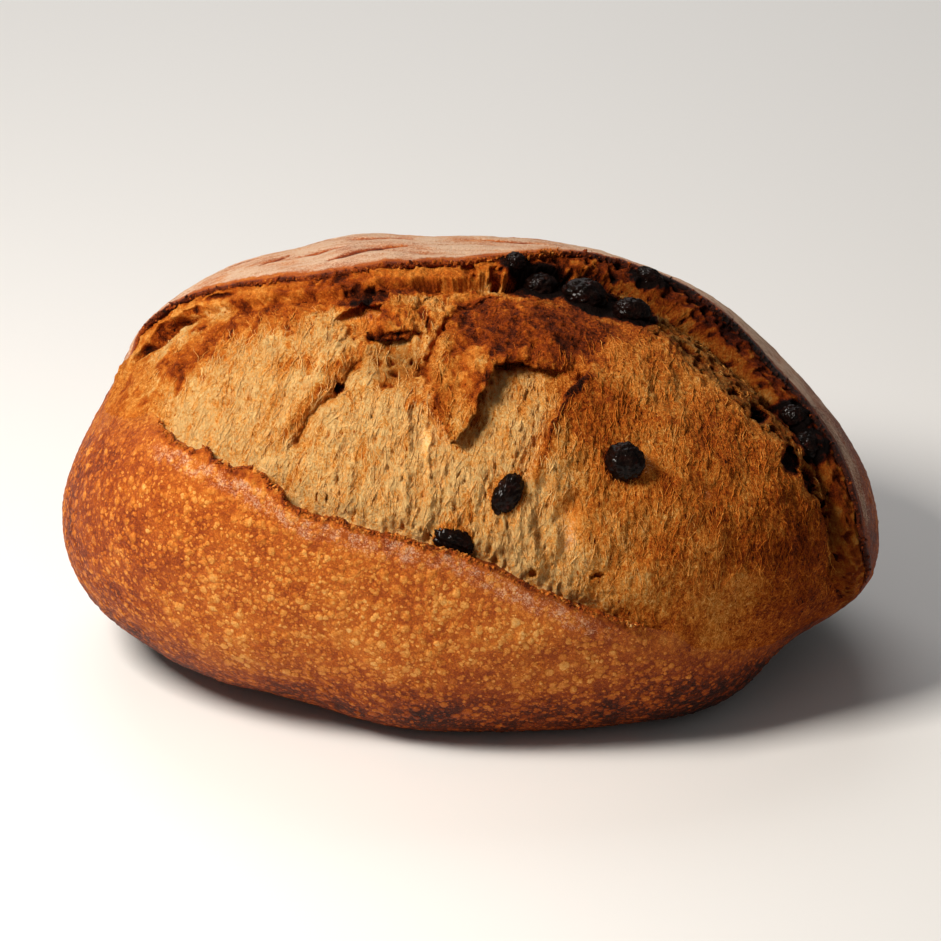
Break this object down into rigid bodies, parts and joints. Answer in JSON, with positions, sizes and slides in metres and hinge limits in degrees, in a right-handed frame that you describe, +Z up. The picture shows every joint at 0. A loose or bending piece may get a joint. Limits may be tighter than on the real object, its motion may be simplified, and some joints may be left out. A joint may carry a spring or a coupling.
{
  "type": "sourdough loaf",
  "caption": "Oval crusty sourdough loaf, burst open along the front under a lifted ear of crust, with dark dried fruit showing in the torn crumb.",
  "frame": {"origin": "middle of the bounding box at the level of the flat base that the loaf rests on", "axes": "+X along the loaf, +Z up, and the burst open side faces -Y"},
  "size_m": [0.2366, 0.1712, 0.1198],
  "materials": {
    "crust": "baked crust, satin to dusty with flour",
    "crumb": "torn open crumb, dry and fibrous",
    "dried_fruit": "wrinkled skin, matt with a slight sheen"
  },
  "bodies": {
    "root": {"loaf": "crust", "raisin_1": "dried_fruit", "raisin_2": "dried_fruit", "raisin_3": "dried_fruit", "raisin_4": "dried_fruit", "raisin_5": "dried_fruit", "raisin_6": "dried_fruit", "raisin_7": "dried_fruit", "raisin_8": "dried_fruit", "raisin_9": "dried_fruit", "raisin_10": "dried_fruit"}
  },
  "joints": []
}
